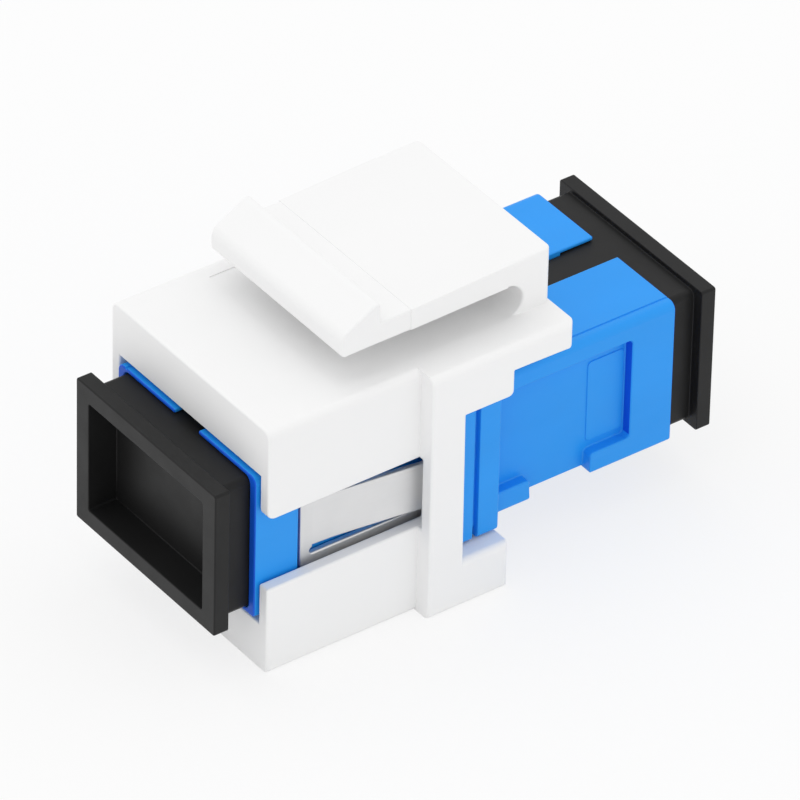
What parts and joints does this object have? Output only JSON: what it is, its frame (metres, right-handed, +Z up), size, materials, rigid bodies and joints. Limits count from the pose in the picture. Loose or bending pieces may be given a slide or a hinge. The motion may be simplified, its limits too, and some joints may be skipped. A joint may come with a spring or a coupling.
{
  "type": "fiber keystone jack",
  "caption": "Snap-in keystone housing with a flexing latch, holding a simplex SC fibre adapter with a pull-off dust cap in each port.",
  "frame": {"origin": "on the floor, under the centre of the adapter, where its two halves meet", "axes": "+X across the jack, -Y towards the front port, +Z up towards the latch"},
  "size_m": [0.0166, 0.0332, 0.0204],
  "materials": {
    "housing_plastic": "fine satin white moulding",
    "adapter_plastic": "satin blue moulding",
    "clip_steel": "rolled stainless spring sheet",
    "inner_clip_plastic": "natural engineering plastic",
    "sleeve_ceramic": "ground zirconia",
    "cap_plastic": "satin black moulding"
  },
  "bodies": {
    "jack": {"keystone_housing": "housing_plastic", "adapter_front_body": "adapter_plastic", "adapter_rear_body": "adapter_plastic", "retention_clip": "clip_steel", "front_inner_clip": "inner_clip_plastic", "rear_inner_clip": "inner_clip_plastic", "alignment_sleeve": "sleeve_ceramic"},
    "latch": {"latch_arm": "housing_plastic"},
    "front_cap": {"front_dust_cap": "cap_plastic"},
    "rear_cap": {"rear_dust_cap": "cap_plastic"}
  },
  "joints": [
    {"name": "latch_flex", "type": "hinge", "parent": "jack", "child": "latch", "pos_m": [0, 0.0027, 0.01795], "axis": [1, 0, 0], "range_deg": [0, 8], "stiffness_Nm_per_rad": 0.24},
    {"name": "front_cap_pull", "type": "slide", "parent": "jack", "child": "front_cap", "axis": [0, -1, 0], "range_m": [0, 0.02]},
    {"name": "rear_cap_pull", "type": "slide", "parent": "jack", "child": "rear_cap", "axis": [0, 1, 0], "range_m": [0, 0.02]}
  ]
}
